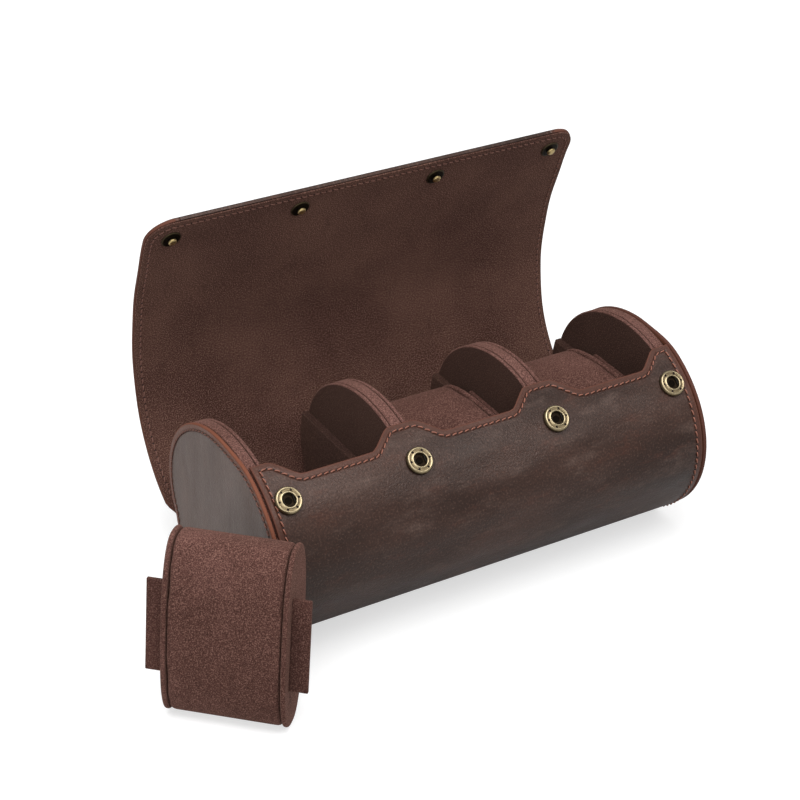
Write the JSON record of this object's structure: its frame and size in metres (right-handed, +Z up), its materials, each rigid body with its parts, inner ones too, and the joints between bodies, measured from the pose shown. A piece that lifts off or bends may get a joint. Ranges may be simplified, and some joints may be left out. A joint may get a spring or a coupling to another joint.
{
  "type": "watch travel case",
  "caption": "Oval leather watch roll with a fold-over snap flap, walled bays with ledges, lift-out padded pillows, one of which stands in front.",
  "frame": {"origin": "on the surface the roll rests on, under the middle of its oval section and halfway along it", "axes": "+X along the roll to its right end, +Y to the back where the flap bends, +Z up"},
  "size_m": [0.2726, 0.1742, 0.162],
  "materials": {
    "leather": "oiled pull-up leather, semi-matte, with lighter rubs and redder cut edges",
    "face_leather": "smooth leather face of the end discs, satin",
    "suede": "short-nap suede, matte",
    "lining": "suede lining, matte",
    "suede_board": "stiff card covered in suede, matte",
    "core_board": "fibreboard, unfinished",
    "foam": "open foam",
    "brass": "antiqued brass",
    "steel": "plain spring wire and rivets"
  },
  "bodies": {
    "root": {"shell_leather": "leather", "shell_lining": "lining", "end_disc_left": "face_leather", "end_core_left": "core_board", "end_band_left": "suede", "end_board_left": "suede_board", "end_disc_right": "face_leather", "end_core_right": "core_board", "end_band_right": "suede", "end_board_right": "suede_board", "divider_left_core": "core_board", "divider_left_band": "suede", "divider_left_board_a": "suede_board", "divider_left_board_b": "suede_board", "divider_right_core": "core_board", "divider_right_band": "suede", "divider_right_board_a": "suede_board", "divider_right_board_b": "suede_board", "ledge_1_left": "suede_board", "ledge_1_right": "suede_board", "ledge_2_left": "suede_board", "ledge_2_right": "suede_board", "ledge_3_left": "suede_board", "ledge_3_right": "suede_board", "snap_sockets": "brass", "snap_springs": "steel", "snap_posts": "steel"},
    "flap_1": {"flap_leather_1": "leather", "flap_lining_1": "lining"},
    "flap_2": {"flap_leather_2": "leather", "flap_lining_2": "lining"},
    "flap_3": {"flap_leather_3": "leather", "flap_lining_3": "lining"},
    "flap_4": {"flap_leather_4": "leather", "flap_lining_4": "lining"},
    "flap_5": {"flap_leather_5": "leather", "flap_lining_5": "lining", "snap_studs": "brass", "snap_caps": "brass"},
    "pillow_1": {"pillow_1_cover": "suede", "pillow_1_core": "foam", "pillow_1_plates": "suede", "pillow_1_wings": "suede_board"},
    "pillow_2": {"pillow_2_cover": "suede", "pillow_2_core": "foam", "pillow_2_plates": "suede", "pillow_2_wings": "suede_board"},
    "pillow_3": {"pillow_3_cover": "suede", "pillow_3_core": "foam", "pillow_3_plates": "suede", "pillow_3_wings": "suede_board"}
  },
  "joints": [
    {"name": "flap_fold", "type": "hinge", "parent": "root", "child": "flap_1", "pos_m": [0, 0.04625, 0.02271], "axis": [-1, 0, 0], "range_deg": [-39.75, 12]},
    {"name": "flap_bend_2", "type": "hinge", "parent": "flap_1", "child": "flap_2", "pos_m": [0, 0.07084, 0.04192], "axis": [-1, 0, 0], "range_deg": [-13.06, 4.01]},
    {"name": "flap_bend_3", "type": "hinge", "parent": "flap_2", "child": "flap_3", "pos_m": [0, 0.08202, 0.07105], "axis": [-1, 0, 0], "range_deg": [-13.73, 4.22]},
    {"name": "flap_bend_4", "type": "hinge", "parent": "flap_3", "child": "flap_4", "pos_m": [0, 0.08148, 0.10224], "axis": [-1, 0, 0], "range_deg": [-8.41, 2.61]},
    {"name": "snap_edge", "type": "hinge", "parent": "flap_4", "child": "flap_5", "pos_m": [0, 0.07288, 0.13223], "axis": [-1, 0, 0], "range_deg": [-24.5, 0]},
    {"name": "pillow_1_lift", "type": "slide", "parent": "root", "child": "pillow_1", "axis": [0, 0, 1], "range_m": [0, 0.06]},
    {"name": "pillow_2_lift", "type": "slide", "parent": "root", "child": "pillow_2", "axis": [0, 0.5446, 0.8387], "range_m": [0, 0.06]},
    {"name": "pillow_3_lift", "type": "slide", "parent": "root", "child": "pillow_3", "axis": [0, 0.5446, 0.8387], "range_m": [0, 0.06]}
  ],
  "couplings": [
    {"joint": "flap_bend_2", "follows": "flap_fold", "ratio": 0.326},
    {"joint": "flap_bend_3", "follows": "flap_fold", "ratio": 0.343},
    {"joint": "flap_bend_4", "follows": "flap_fold", "ratio": 0.209}
  ]
}
